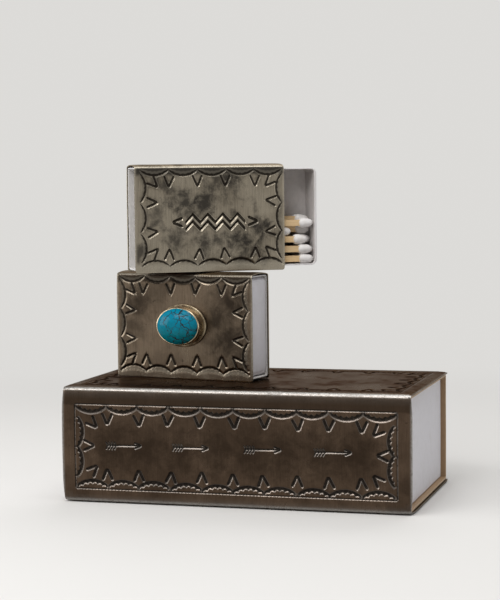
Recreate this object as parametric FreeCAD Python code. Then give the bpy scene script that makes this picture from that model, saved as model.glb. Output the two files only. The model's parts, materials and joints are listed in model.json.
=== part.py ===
import FreeCAD, Part
import math
import os
from collections import namedtuple
from types import SimpleNamespace

from FreeCAD import Matrix, Vector

# Three stamped sheet-metal holders, each a U over a cardboard matchbox, stand in a stack.
# Lengths are in millimetres and turns in degrees. Every holder is made lying down, its length
# along X, its web at y = 0 and its tray opening up, and is then set in its place in the stack.

# Large holder, over a kitchen matchbox
large_length = 122.0
large_width = 69.0  # from the web to the free edges
large_height = 39.8  # over both wide walls
large_sheet = 0.6
large_bend = 1.8  # outer radius of the two bends
large_crown = 0.4  # how far the web bulges between its bends
large_corner = 1.2  # rounding of the wide walls' free corners
large_play = 0.3  # between the metal and the sleeve, on each side
large_end_inset = 0.65  # sleeve short of the cover at each end
large_card = 0.7
large_tray_play = 0.25  # between the sleeve and the tray, on each side
large_tray_recess = 1.6  # tray short of the sleeve at each end
large_tray_card = 0.7
large_tray_end = 1.0  # the tray's end walls are folded double
large_tray_corner = 1.6
large_striker_end = 2.5  # sleeve bare beyond the striker, at each end
large_striker_edge = 4.5  # and along each fold

# Small holder, over a pocket matchbox: the middle and the top one of the stack
small_length = 54.0
small_width = 37.7
small_height = 13.6
small_sheet = 0.5
small_bend = 1.4
small_crown = 0.5
small_corner = 0.9
small_play = 0.2
small_end_inset = 0.5
small_card = 0.45
small_tray_play = 0.2
small_tray_recess = 0.2
small_tray_card = 0.45
small_tray_end = 0.8
small_tray_corner = 2.0
small_striker_end = 1.2
small_striker_edge = 1.5

# Both matchboxes
edge_reveal = 0.8  # the metal's free edges stand this far beyond the sleeve
striker_coat = 0.12
sleeve_bore_corner_share = 0.36  # of the sleeve's outer corner
tray_pocket_corner_share = 0.6  # of the tray's outer corner

# Matches
match_gap = 0.1
head_neck_share = 0.95  # of the head's radius
stick_start_share = 0.4  # of the head's length
kitchen_head = 3.6
kitchen_coat = 0.6  # dried dip over the stick's flats
kitchen_head_length = 6.5
kitchen_end_play = 4.0
kitchen_layers = 3
pocket_columns = 3  # pocket matches fill their tray's depth so many across
pocket_coat = 0.6
pocket_head_length = 5.8
pocket_end_play = 9.0
middle_fill_share = 0.75  # of the tray's height
loose_steps = 5  # how unevenly the hidden matches lie
loose_share = 0.4  # of the end play

# Matches in the open tray: column from the back, row from below, share of the end play drawn back
top_match_shares = (
    (2, 0, 0.00),
    (2, 1, 0.04),
    (2, 2, 0.24),
    (2, 2.82, 0.95),
    (2, 3.66, 0.00),
    (1, 0, 0.10),
    (1, 1, 0.00),
    (1, 2, 0.02),
    (1, 3, 0.06),
    (1, 4, 0.08),
    (0, 0, 0.05),
    (0, 1, 0.14),
    (0, 2, 0.00),
    (0, 3, 0.11),
    (0, 4, 0.03),
)

# Oval setting and stone on the middle holder's front wall
stone_length = 16.4
stone_breadth = 12.8
stone_girdle = 3.6  # where its dome starts, above the wall
stone_height = 7.4
stone_play = 0.04
collar_wall = 0.35
collar_height = 4.5
collar_round = 0.15
plate_margin = 0.8  # plate beyond the collar
plate_thickness = 0.9
plate_round = 0.4

# Places in the stack
stack_gap = 0.05
middle_x = -24.6
middle_y = 0.6
middle_yaw = -10.5
top_x = -19.5
top_y = 1.7
top_yaw = 31.5
top_tray_pull = 13.0

Span = namedtuple("Span", "x0 x1 y0 y1 z0 z1")

large = SimpleNamespace(
    length=large_length,
    width=large_width,
    height=large_height,
    sheet=large_sheet,
    bend=large_bend,
    crown=large_crown,
    corner=large_corner,
    play=large_play,
    end_inset=large_end_inset,
    card=large_card,
    tray_play=large_tray_play,
    tray_recess=large_tray_recess,
    tray_card=large_tray_card,
    tray_end=large_tray_end,
    tray_corner=large_tray_corner,
    striker_end=large_striker_end,
    striker_edge=large_striker_edge,
)
small = SimpleNamespace(
    length=small_length,
    width=small_width,
    height=small_height,
    sheet=small_sheet,
    bend=small_bend,
    crown=small_crown,
    corner=small_corner,
    play=small_play,
    end_inset=small_end_inset,
    card=small_card,
    tray_play=small_tray_play,
    tray_recess=small_tray_recess,
    tray_card=small_tray_card,
    tray_end=small_tray_end,
    tray_corner=small_tray_corner,
    striker_end=small_striker_end,
    striker_edge=small_striker_edge,
)


def drawn_in(span, dx, dy, dz):
    """The span, smaller by dx, dy and dz on every side."""
    return Span(
        span.x0 + dx, span.x1 - dx,
        span.y0 + dy, span.y1 - dy,
        span.z0 + dz, span.z1 - dz,
    )


def sleeve_span(h):
    """Outside of the sleeve: clear of the metal by the play, and short of the free edges."""
    half = h.length / 2 - h.end_inset
    wall = h.sheet + h.play
    return Span(-half, half, h.crown + wall, h.width - edge_reveal, wall, h.height - wall)


def tray_span(h):
    """Outside of the tray: clear of the sleeve's bore by the tray's play."""
    side = h.card + h.tray_play
    return drawn_in(sleeve_span(h), h.tray_recess, side, side)


def pocket_span(h):
    """Room for matches in the tray, up to its rim."""
    tray = tray_span(h)
    return drawn_in(tray, h.tray_end, h.tray_card, 0)._replace(z0=tray.z0 + h.tray_card)


def block(span):
    size = (span.x1 - span.x0, span.y1 - span.y0, span.z1 - span.z0)
    return Part.makeBox(*size, Vector(span.x0, span.y0, span.z0))


def rounded_block(span, axis, radius):
    """A block whose four edges along the axis are rounded."""
    solid = block(span)
    edges = [edge for edge in solid.Edges if edge.tangentAt(edge.FirstParameter).cross(axis).Length < 0.5]
    return solid.makeFillet(radius, edges)


def section_edges(h, depth):
    """The U's outline at a depth below its outer skin, from the lower free edge round the web."""
    middle = h.height / 2
    climb = middle - h.bend
    reach = (climb**2 + h.crown**2) / (2 * h.crown)  # from the web's centre to a bend's centre
    bend_y = h.bend + h.crown
    web_y = h.bend + reach
    radius = h.bend - depth
    lean = math.atan2(climb, web_y - bend_y)

    def on_bend(angle, side):
        y = bend_y - radius * math.cos(angle)
        return Vector(0, y, middle + side * (climb + radius * math.sin(angle)))

    def wall(side):
        free = Vector(0, h.width, middle + side * (middle - depth))
        return Part.LineSegment(free, on_bend(math.pi / 2, side))

    def bend(side):
        angles = (math.pi / 2, (math.pi / 2 + lean) / 2, lean)
        return Part.Arc(*(on_bend(angle, side) for angle in angles))

    web = Part.Arc(on_bend(lean, -1), Vector(0, depth, middle), on_bend(lean, 1))
    return [wall(-1), bend(-1), web, bend(1), wall(1)]


def cover(h):
    """Sheet bent to a U, with the free corners of its wide walls rounded."""
    outer = section_edges(h, 0)
    inner = section_edges(h, h.sheet)
    lips = [Part.LineSegment(outer[i].StartPoint, inner[i].StartPoint) for i in (0, -1)]
    edges = [curve.toShape() for curve in outer + inner + lips]
    face = Part.Face(Part.Wire(Part.sortEdges(edges)[0]))
    face.translate(Vector(-h.length / 2, 0, 0))
    sheet = face.extrude(Vector(h.length, 0, 0))

    def is_free_corner(edge):
        middle = edge.CenterOfMass
        on_end = math.isclose(abs(middle.x), h.length / 2)
        return on_end and math.isclose(middle.y, h.width) and math.isclose(edge.Length, h.sheet)

    return sheet.makeFillet(h.corner, [edge for edge in sheet.Edges if is_free_corner(edge)])


def sleeve(h):
    outside = sleeve_span(h)
    bore = drawn_in(outside, 0, h.card, h.card)
    corner = h.bend - h.sheet - h.play
    along = Vector(1, 0, 0)
    tube = rounded_block(outside, along, corner)
    return tube.cut(rounded_block(bore, along, corner * sleeve_bore_corner_share))


def strikers(h):
    """The two striker strips: on the side at the web, and on the open side."""
    outside = sleeve_span(h)
    strip = drawn_in(outside, h.striker_end, 0, h.striker_edge)
    at_web = strip._replace(y0=outside.y0 - striker_coat, y1=outside.y0)
    at_opening = strip._replace(y0=outside.y1, y1=outside.y1 + striker_coat)
    return block(at_web), block(at_opening)


def tray(h):
    up = Vector(0, 0, 1)
    pocket = rounded_block(pocket_span(h), up, h.tray_corner * tray_pocket_corner_share)
    return rounded_block(tray_span(h), up, h.tray_corner).cut(pocket)


def match(head, coat, head_length, length):
    """A stick and its dipped head, along X from the head's tip at the origin."""
    radius = head / 2
    side = head - 2 * coat
    start = head_length * stick_start_share
    stick = Part.makeBox(length - start, side, side, Vector(start, -side / 2, -side / 2))
    tip = Vector(0, 0, 0)
    shoulder = Vector(radius, 0, radius)
    slope = radius * math.sin(math.pi / 4)
    neck = Vector(head_length, 0, radius * head_neck_share)
    foot = Vector(head_length, 0, 0)
    edges = [
        Part.Arc(tip, Vector(radius - slope, 0, slope), shoulder),
        Part.LineSegment(shoulder, neck),
        Part.LineSegment(neck, foot),
        Part.LineSegment(foot, tip),
    ]
    half = Part.Face(Part.Wire([edge.toShape() for edge in edges]))
    dip = half.revolve(tip, Vector(1, 0, 0), 360)
    return stick, dip.cut(stick)


def moved(shape, x, y, z):
    copy = shape.copy()
    copy.translate(Vector(x, y, z))
    return copy


def loose(column, row):
    """How far back a hidden match lies, as a share of its end play."""
    return (2 * column + 3 * row) % loose_steps / loose_steps * loose_share


def pocket_match_room():
    """The pocket tray's room, the head that fills its depth in columns, and the match's length."""
    room = pocket_span(small)
    column_pitch = (room.z1 - room.z0) / pocket_columns
    head = column_pitch - match_gap
    return room, column_pitch, head, room.x1 - room.x0 - pocket_end_play


def pocket_match(column, row, drawn_back):
    """A pocket match in its tray, which stands on its side: rows count from the low side."""
    room, column_pitch, head, length = pocket_match_room()
    x = room.x0 + match_gap + drawn_back * (pocket_end_play - 2 * match_gap)
    y = room.y1 - (row + 0.5) * (head + match_gap)
    z = room.z0 + (column + 0.5) * column_pitch
    return [moved(solid, x, y, z) for solid in match(head, pocket_coat, pocket_head_length, length)]


def kitchen_matches():
    """Kitchen matches laid across their tray in layers, heads to the web."""
    room = pocket_span(large)
    pitch = kitchen_head + match_gap
    columns = int((room.x1 - room.x0) / pitch)
    first_x = (room.x0 + room.x1 - (columns - 1) * pitch) / 2
    length = room.y1 - room.y0 - kitchen_end_play
    pair = match(kitchen_head, kitchen_coat, kitchen_head_length, length)
    for solid in pair:
        solid.rotate(Vector(0, 0, 0), Vector(0, 0, 1), 90)
    for layer in range(kitchen_layers):
        for column in range(columns):
            x = first_x + column * pitch
            y = room.y0 + match_gap + loose(column, layer) * (kitchen_end_play - 2 * match_gap)
            z = room.z0 + (layer + 0.5) * pitch
            yield [moved(solid, x, y, z) for solid in pair]


def oval(length, breadth, low, high):
    edge = Part.Ellipse(Vector(0, 0, low), length / 2, breadth / 2).toShape()
    return Part.Face(Part.Wire(edge)).extrude(Vector(0, 0, high - low))


def rounded_rim(solid, radius):
    """Rounds the outer edge of an oval's top."""
    top = max(solid.Edges, key=lambda edge: (round(edge.CenterOfMass.z, 6), edge.Length))
    return solid.makeFillet(radius, [top])


def setting():
    """Plate, collar and stone, standing on z = 0 about the origin."""
    bore = 2 * stone_play
    wall = bore + 2 * collar_wall
    rim = wall + 2 * plate_margin
    plate = oval(stone_length + rim, stone_breadth + rim, 0, plate_thickness)
    outside = oval(stone_length + wall, stone_breadth + wall, plate_thickness, collar_height)
    inside = oval(stone_length + bore, stone_breadth + bore, plate_thickness, collar_height)
    seat = oval(stone_length, stone_breadth, plate_thickness, stone_girdle)
    swell = Matrix()
    swell.scale(Vector(stone_length / 2, stone_breadth / 2, stone_height - stone_girdle))
    dome = Part.makeSphere(1, Vector(0, 0, 0), Vector(0, 0, 1), 0, 90, 360).transformGeometry(swell)
    stone = seat.fuse(moved(dome, 0, 0, stone_girdle)).removeSplitter()
    return rounded_rim(plate, plate_round), rounded_rim(outside, collar_round).cut(inside), stone


def lying(shape):
    """Sets the large holder down on a wide wall, web to the front, centred on the origin."""
    return moved(shape, 0, -large.width / 2, 0)


def standing(shape, x, y, z, yaw):
    """Stands a small holder on its free edges, web up, tray opening to the front, then turns it."""
    upright = Matrix(-1, 0, 0, 0, 0, 0, -1, small.height / 2, 0, -1, 0, small.width, 0, 0, 0, 1)
    turn = Matrix()
    turn.rotateZ(math.radians(yaw))
    turn.move(Vector(x, y, z))
    return shape.transformed(turn.multiply(upright), copy=True)


def middle(shape):
    return standing(shape, middle_x, middle_y, large.height + stack_gap, middle_yaw)


def top(shape):
    floor = large.height + small.width + 2 * stack_gap
    return standing(shape, top_x, top_y, floor, top_yaw)


def pulled(shape):
    """Draws the top tray and its matches out of their sleeve."""
    return top(moved(shape, -top_tray_pull, 0, 0))


def save(name, shape):
    shape.exportStep(f"parts/{name}.step")


def save_pair(stem, pairs, place):
    """Saves matches as one node of sticks and one of heads."""
    sticks, heads = zip(*pairs)
    save(f"{stem}_sticks", place(Part.makeCompound(sticks)))
    save(f"{stem}_heads", place(Part.makeCompound(heads)))


os.makedirs("parts", exist_ok=True)

# Large holder and its kitchen matchbox
save("large_cover", lying(cover(large)))
save("large_sleeve", lying(sleeve(large)))
for side, strip in zip(("front", "back"), strikers(large)):
    save(f"large_striker_{side}", lying(strip))
save("large_tray", lying(tray(large)))
save_pair("large_match", kitchen_matches(), lying)

# Middle holder with its stone, and its matchbox
save("middle_cover", middle(cover(small)))
for name, piece in zip(("bezel_plate", "bezel_collar", "turquoise_stone"), setting()):
    save(name, middle(moved(piece, 0, small.width / 2, small.height)))
save("middle_sleeve", middle(sleeve(small)))
for side, strip in zip(("upper", "lower"), strikers(small)):
    save(f"middle_striker_{side}", middle(strip))
save("middle_tray", middle(tray(small)))
room, column_pitch, head, length = pocket_match_room()
rows = int((room.y1 - room.y0) * middle_fill_share / (head + match_gap))
places = [(column, row) for column in range(pocket_columns) for row in range(rows)]
save_pair("middle_match", [pocket_match(*place, loose(*place)) for place in places], middle)

# Top holder, and its matchbox with the tray drawn out
save("top_cover", top(cover(small)))
save("top_sleeve", top(sleeve(small)))
for side, strip in zip(("upper", "lower"), strikers(small)):
    save(f"top_striker_{side}", top(strip))
save("top_tray", pulled(tray(small)))
for number, (column, row, drawn_back) in enumerate(top_match_shares, 1):
    stick, head = pocket_match(column, row, drawn_back)
    save(f"top_match_stick_{number:02d}", pulled(stick))
    save(f"top_match_head_{number:02d}", pulled(head))
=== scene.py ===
import json
import math

import bmesh
import bpy
import numpy as np
from mathutils import Matrix, Vector
from mathutils.kdtree import KDTree


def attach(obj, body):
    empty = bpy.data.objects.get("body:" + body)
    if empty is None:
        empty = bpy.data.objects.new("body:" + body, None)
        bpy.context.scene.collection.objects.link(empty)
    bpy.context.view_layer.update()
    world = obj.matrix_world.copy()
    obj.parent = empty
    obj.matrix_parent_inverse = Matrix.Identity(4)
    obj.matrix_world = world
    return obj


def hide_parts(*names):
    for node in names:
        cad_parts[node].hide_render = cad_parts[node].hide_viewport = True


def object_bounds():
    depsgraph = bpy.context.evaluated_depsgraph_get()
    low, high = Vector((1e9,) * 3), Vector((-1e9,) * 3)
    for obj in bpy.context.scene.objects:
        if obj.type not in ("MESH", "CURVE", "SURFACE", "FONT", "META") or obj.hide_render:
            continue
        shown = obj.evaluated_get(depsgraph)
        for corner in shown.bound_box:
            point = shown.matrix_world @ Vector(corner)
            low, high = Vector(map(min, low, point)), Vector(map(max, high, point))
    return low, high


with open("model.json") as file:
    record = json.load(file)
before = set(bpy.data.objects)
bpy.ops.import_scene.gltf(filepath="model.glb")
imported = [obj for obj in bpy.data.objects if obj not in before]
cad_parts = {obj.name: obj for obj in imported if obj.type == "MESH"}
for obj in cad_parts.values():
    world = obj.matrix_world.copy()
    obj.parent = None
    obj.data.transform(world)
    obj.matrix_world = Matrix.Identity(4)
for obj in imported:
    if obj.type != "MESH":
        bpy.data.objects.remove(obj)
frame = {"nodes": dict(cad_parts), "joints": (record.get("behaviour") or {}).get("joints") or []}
cad_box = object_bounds()

# Covers
# Three holders of nickel silver sheet, each struck flat with a few hand punches and then bent round a
# former into two wide walls and one narrow web. The fourth side stays open for the striker. Old polish
# and tarnish lie dark in the marks, laid on thicker on the side of each mark away from the lamps as
# painted shade, and the ridges beside them are worn bright. A strip along the open edges is lighter,
# partly worn metal and partly painted highlight, and the metal's tones are darker than the metal, a
# painted reflection of a dark room.
MM = 0.001  # drawings are in millimetres, the frame is in metres


class Holder:
    """A cover and its own drawing: x along it, y from the web to the open edges, z across the walls."""

    def __init__(self, name, lying, sheet, bend, crown, corner):
        self.name, self.sheet, self.bend, self.corner = name, sheet, bend, corner
        slide = next(joint for joint in frame["joints"] if joint["name"] == name + "_box_slide")
        along, up = Vector(slide["axis"]), Vector((0, 0, 1))
        axes = (along, up.cross(along), up) if lying else (-along, -up, along.cross(up))
        self.axes, self.origin = np.array(axes), np.zeros(3)
        low, high = self.span(name + "_cover")
        self.origin = np.array(((low[0] + high[0]) / 2, low[1], low[2]))
        self.length, self.width, self.height = high - low
        self.middle = self.height / 2
        self.climb = self.middle - bend
        self.bend_y = bend + crown
        self.web_radius = bend + (self.climb**2 + crown**2) / (2 * crown)
        self.lean = math.atan2(self.climb, self.web_radius - self.bend_y)
        self.web_end = self.web_radius * self.lean
        self.bend_end = self.web_end + bend * (math.pi / 2 - self.lean)
        self.free_end = self.bend_end + self.width - self.bend_y

    def span(self, cad_node):
        """Lowest and highest corner of a CAD node in this drawing."""
        points = np.array([vertex.co for vertex in frame["nodes"][cad_node].data.vertices])
        points = points @ self.axes.T / MM - self.origin
        return points.min(0), points.max(0)

    def place(self, points):
        """Points of the drawing, set in the frame."""
        return (np.asarray(points) + self.origin) @ self.axes * MM

    def bent(self, along, around, depth):
        """Points of the flat sheet, at a depth below its outer skin, bent to the U."""
        run = np.abs(around)
        parts = [run < self.web_end, run < self.bend_end]
        web_turn, bend_turn = run / self.web_radius, self.lean + (run - self.web_end) / self.bend
        web, bend = self.web_radius - depth, self.bend - depth
        web_y, bend_y = self.web_radius - web * np.cos(web_turn), self.bend_y - bend * np.cos(bend_turn)
        web_z, bend_z = web * np.sin(web_turn), self.climb + bend * np.sin(bend_turn)
        y = np.select(parts, [web_y, bend_y], self.bend_y + run - self.bend_end)
        z = np.select(parts, [web_z, bend_z], self.middle - depth)
        return np.column_stack([along, y, self.middle + np.where(around < 0, -z, z)])


large = Holder("large", True, sheet=0.6, bend=1.8, crown=0.4, corner=1.2)
middle, top = (
    Holder(name, False, sheet=0.5, bend=1.4, crown=0.5, corner=0.9) for name in ("middle", "top")
)


class Value:
    """An output of a node: sums add Math nodes to its tree, and keys give the node's other outputs."""

    def __init__(self, tree, outputs, key=0):
        self.tree, self.outputs, self.socket = tree, outputs, outputs[key]

    def __getitem__(self, key):
        if isinstance(key, tuple):
            return [self[name] for name in key]
        return Value(self.tree, self.outputs, key)

    def __add__(self, other):
        return self.tree.calc("ADD", self, other)

    def __sub__(self, other):
        return self.tree.calc("SUBTRACT", self, other)

    def __rsub__(self, other):
        return self.tree.calc("SUBTRACT", other, self)

    def __mul__(self, other):
        return self.tree.calc("MULTIPLY", self, other)

    def __truediv__(self, other):
        return self.tree.calc("DIVIDE", self, other)

    def at_least(self, other):
        return self.tree.calc("MAXIMUM", self, other)

    def at_most(self, other):
        return self.tree.calc("MINIMUM", self, other)

    def step(self, low, high, to_low=0.0, to_high=1.0):
        """A soft step from one number to another, as the value goes from low to high."""
        return self.tree.add(
            "ShaderNodeMapRange", value=self, from_min=low, from_max=high, to_min=to_low, to_max=to_high,
            interpolation_type="SMOOTHSTEP",
        )


def socket_name(key):
    return key.replace("_", " ").title().replace("Ior", "IOR")


class Tree:
    """A node tree being written, and its end: the node that takes what the tree gives."""

    kind, gives = "GeometryNode", "NodeSocketGeometry"

    def __init__(self, group, end):
        self.group, self.end = group, end

    @classmethod
    def named(cls, name, outputs, **inputs):
        """A group and its inputs, each input given by its usual value or by its kind of socket."""
        group = bpy.data.node_groups.new(name, cls.kind + "Tree")
        kinds = {bool: "Bool", int: "Int", float: "Float", tuple: "Vector"}
        for key, value in inputs.items():
            kind = "NodeSocket" + kinds.get(type(value), value)
            socket = group.interface.new_socket(socket_name(key), in_out="INPUT", socket_type=kind)
            if type(value) in kinds:
                socket.default_value = value
        for label in outputs:
            group.interface.new_socket(label, in_out="OUTPUT", socket_type=cls.gives)
        tree = cls(group, group.nodes.new("NodeGroupOutput"))
        return tree, Value(tree, group.nodes.new("NodeGroupInput").outputs)

    def wire(self, value, socket):
        """Sets a socket to a plain value, or links one value or a list of them to it."""
        for part in value if isinstance(value, list) else [value]:
            if isinstance(part, Value):
                self.group.links.new(part.socket, socket)
            else:
                socket.default_value = part

    def add(self, kind, numbered=(), **named):
        """Adds a node and wires its sockets, given by number or name; other names are its settings.

        A setting that brings a socket stands before it.
        """
        made = self.group.nodes.new(kind)
        sockets = dict(numbered)
        for key, value in named.items():
            if socket_name(key) in made.inputs:
                sockets[socket_name(key)] = value
            else:
                setattr(made, key, value)
        for key, value in sockets.items():
            self.wire(value, made.inputs[key])
        return Value(self, made.outputs)

    def use(self, other, **inputs):
        """Adds another tree as a group."""
        return self.add(self.kind + "Group", node_tree=other.group, **inputs)

    def give(self, **values):
        """Sets or links sockets of the tree's end by their names."""
        for key, value in values.items():
            self.wire(value, self.end.inputs[socket_name(key)])

    def calc(self, operation, *values):
        return self.add("ShaderNodeMath", enumerate(values), operation=operation)

    def vectors(self, operation, *values):
        return self.add("ShaderNodeVectorMath", enumerate(values), operation=operation)

    def xyz(self, x=0.0, y=0.0, z=0.0):
        return self.add("ShaderNodeCombineXYZ", x=x, y=y, z=z)

    def split(self, vector):
        return self.add("ShaderNodeSeparateXYZ", vector=vector)

    def random(self, low, high, seed):
        return self.add("FunctionNodeRandomValue", {2: low, 3: high}, seed=seed, data_type="FLOAT")[1]

    def join(self, *parts):
        return self.add("GeometryNodeJoinGeometry", geometry=list(parts))

    def transform(self, geometry, **moves):
        return self.add("GeometryNodeTransform", geometry=geometry, **moves)

    def real(self, geometry):
        return self.add("GeometryNodeRealizeInstances", geometry=geometry)

    def set_place(self, geometry, **places):
        return self.add("GeometryNodeSetPosition", geometry=geometry, **places)

    def choose(self, switch, no, yes):
        return self.add("GeometryNodeSwitch", switch=switch, false=no, true=yes, input_type="GEOMETRY")

    def noise(self, place, scale, detail, rough=0.5, seed=0.0, bend=0.0):
        return self.add(
            "ShaderNodeTexNoise", noise_dimensions="4D", vector=place, w=seed, scale=scale, detail=detail,
            roughness=rough, distortion=bend,
        )

    def dressed(self, geometry, material):
        """The end of a tree: real geometry in one material."""
        return self.add("GeometryNodeSetMaterial", geometry=self.real(geometry), material=material)


def struck_along(tree, count, start, pitch, punch, wander, seed, turn, stretch=1.0):
    """Blows of one punch along x: each a little off its place, turned, and lighter or harder."""
    lightest, hardest = 0.84, 1.08
    start, step = tree.xyz(start), tree.xyz(pitch)
    line = tree.add("GeometryNodeMeshLine", count=count, start_location=start, offset=step)
    reach = {0: tree.xyz(wander * -1, wander * -0.5), 1: tree.xyz(wander, wander * 0.5)}
    aside = tree.add("FunctionNodeRandomValue", reach, seed=seed, data_type="FLOAT_VECTOR")
    blows = tree.add(
        "GeometryNodeInstanceOnPoints", points=tree.set_place(line, offset=aside), instance=punch,
        rotation=tree.xyz(0, 0, tree.random(-turn, turn, seed)),
        scale=tree.xyz(stretch, 1.0, tree.random(lightest, hardest, seed + 1)),
    )
    return tree.real(blows)


def set_out(name, data):
    """A new object in the scene."""
    made = bpy.data.objects.new(name, data)
    bpy.context.scene.collection.objects.link(made)
    return made


def meshed(name, points, faces):
    mesh = bpy.data.meshes.new(name)
    mesh.from_pydata(np.asarray(points, float).tolist(), [], faces)
    return mesh


def net(columns, lines, first=0):
    """Faces of a net of points that are numbered line after line."""
    starts = [first + line * columns for line in range(lines - 1)]
    corners = [start + column for start in starts for column in range(columns - 1)]
    return [(a, a + 1, a + columns + 1, a + columns) for a in corners]


# Punches: the faces of the steel tools, drawn as facets below the sheet at z = 0
tools = []


def punch(name, ribbons):
    """A tool's face: each ribbon is a strip of facets between lines of equally many points."""
    points, faces = [], []
    for lines in ribbons:
        lines = np.asarray(lines, float)
        faces += net(lines.shape[1], len(lines), len(points))
        points += lines.reshape(-1, 3).tolist()
    tools.append(set_out(name, meshed(name, points, faces)))
    return tools[-1]


def groove(start, end, left, depth, right=None):
    """One straight chisel cut with pointed ends, and slopes of the widths given on its two sides."""
    right = right or left
    start, end = np.array((*start, 0.0)), np.array((*end, 0.0))
    ahead = (end - start) / np.linalg.norm(end - start)
    aside, down = np.array((-ahead[1], ahead[0], 0.0)), np.array((0.0, 0.0, -depth))
    point = ahead * min(left, right)
    moves = (aside * left, down, -aside * right)
    return [[start, start + point + move, end - point + move, end] for move in moves]


def scallop_punch(name, chord, dip, depth, teeth, notch, slope, wall, steep, rest):
    """A toothed crescent: a long slope on the panel side, and on the other a notched wall."""
    radius = (chord**2 / 4 + dip**2) / (2 * dip)
    share = np.linspace(0, 1, teeth * 8 + 1)
    from_middle = share * 2 - 1
    angle = from_middle * math.asin(chord / 2 / radius)
    notches = notch * (1 - np.abs(np.sin(math.pi * teeth * share)) ** 0.8)
    deep = depth * (1 - 0.6 * np.abs(from_middle) ** 6)
    wall = wall * (1 - 0.6 * from_middle**2)
    profile = ((slope, 0, 0), (slope * 0.45, 0.5, 0), (0, 1, 1), (-steep * wall, rest, 1), (-wall, 0, 1))
    lines = []
    for out, low, toothed in profile:
        reach = radius + out - toothed * notches
        y = reach * np.cos(angle) + dip - radius
        lines.append(np.column_stack([reach * np.sin(angle), y, -low * deep]))
    return punch(name, [lines])


def wedge_punch(name, mouth, apex, width, outer, inner, depth, tail):
    """Two cuts from an open mouth to an apex at +y, with a pillow left between them, and a tail."""
    cross = (0.05, apex + 0.25)
    left = groove((-width / 2, mouth), cross, outer, depth, inner)
    right = groove((width / 2, mouth), (-cross[0], cross[1]), inner, depth, outer)
    return punch(name, [left, right, groove((0, apex - 0.4), (0, apex + tail), outer * 0.6, depth * 0.5)])


def zigzag_punch(name, peaks, period, height, gap, bed, wall, ridge, shoulder, depth):
    """A zigzag ridge with a low crown between two flat-bedded creases."""
    number = np.arange(2 * peaks + 1)
    x, rise = (number - peaks) * period / 2, (number % 2 - 0.5) * height
    bed_outer, bed_inner = ((gap + bed) / 2, -depth), ((gap - bed) / 2, -depth)
    upper = ((gap / 2 + wall, 0), bed_outer, bed_inner, (ridge / 2, -shoulder))
    rows = (*upper, (0, 0), *((-up, low) for up, low in reversed(upper)))
    return punch(name, [[np.column_stack([x, rise + up, np.full_like(x, low)]) for up, low in rows]])


def arrow_punch(name, length, head, feather, half_width, depth):
    """Shaft, barbed head and slanted feather cuts, pointing to +x."""
    tip, tail = length / 2, -length / 2
    cuts = [groove((tail, 0), (tip, 0), half_width, depth)]
    for side in (-1, 1):
        cuts.append(groove((tip - head, side * head * 0.36), (tip, 0), half_width * 1.2, depth))
        for quill in tail + 0.7 + np.arange(4):
            cuts.append(groove((quill - 0.8, side * feather), (quill, 0), half_width * 0.7, depth * 0.9))
    return punch(name, cuts)


def frame_punch(name, length, width):
    """Four straight chisel cuts round a panel."""
    x, y, half_width, depth = length / 2, width / 2, 0.27, 0.34
    corners = ((-x, -y), (x, -y), (x, y), (-x, y))
    return punch(name, [groove(corners[k - 1], corners[k], half_width, depth) for k in range(4)])


# A row of scallops along x, bulging to +y, with a wedge at every cusp
chord = 10.8
row, given = Tree.named(
    "Scallop row", ["Blows"], scallop="Geometry", wedge="Geometry", count=5, pitch=chord, chord=chord,
    wander=0.2, seed=0,
)
count, pitch, wander, seed = given["Count", "Pitch", "Wander", "Seed"]
half = pitch * 0.5
first = (1 - count) * half
stretch = pitch / given["Chord"]
scallops = struck_along(row, count, first, pitch, given["Scallop"], wander, seed, 0.03, stretch)
wedges = struck_along(row, count - 1, first + half, pitch, given["Wedge"], wander, seed + 17, 0.1)
row.give(blows=row.join(scallops, wedges))

# The same row on all four sides of a panel, with a wedge struck slantwise in each corner
border, given = Tree.named(
    "Punched border", ["Blows"], scallop="Geometry", wedge="Geometry", half_length=26.0, half_width=17.0,
    count_along=5, count_across=3, corner_room=1.5, corner_inset=1.6, chord=chord, wander=0.2, seed=0,
)
half_length, half_width, inset = given["Half Length", "Half Width", "Corner Inset"]
scallop, wedge, wander, seed = given["Scallop", "Wedge", "Wander", "Seed"]
along = (given["Count Along"], half_length * 2 / given["Count Along"])
across = (given["Count Across"], (half_width - given["Corner Room"]) * 2 / given["Count Across"])
blows = []
for quarter, (x, y) in enumerate(((0, -1), (1, 0), (0, 1), (-1, 0))):
    count, pitch = along if y else across
    made = border.use(
        row, scallop=scallop, wedge=wedge, count=count, pitch=pitch, chord=given["Chord"], wander=wander,
        seed=seed + 40 * quarter,
    )
    place = border.xyz(half_length * x, half_width * y)
    blows.append(border.transform(made, translation=place, rotation=(0, 0, quarter * math.pi / 2)))
for x, y in ((-1, -1), (1, -1), (1, 1), (-1, 1)):
    place = border.xyz((half_length - inset) * x, (half_width - inset) * y)
    inward = (0, 0, math.atan2(-y, -x) - math.pi / 2)
    blows.append(border.transform(wedge, translation=place, rotation=inward))
border.give(blows=border.join(*blows))

# A row of single blows
line_of_blows, given = Tree.named(
    "Blows in line", ["Blows"], punch="Geometry", count=4, pitch=24.4, wander=0.6, seed=3
)
count, pitch, tool, wander, seed = given["Count", "Pitch", "Punch", "Wander", "Seed"]
first = (1 - count) * (pitch * 0.5)
line_of_blows.give(blows=struck_along(line_of_blows, count, first, pitch, tool, wander, seed, 0.025))


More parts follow.
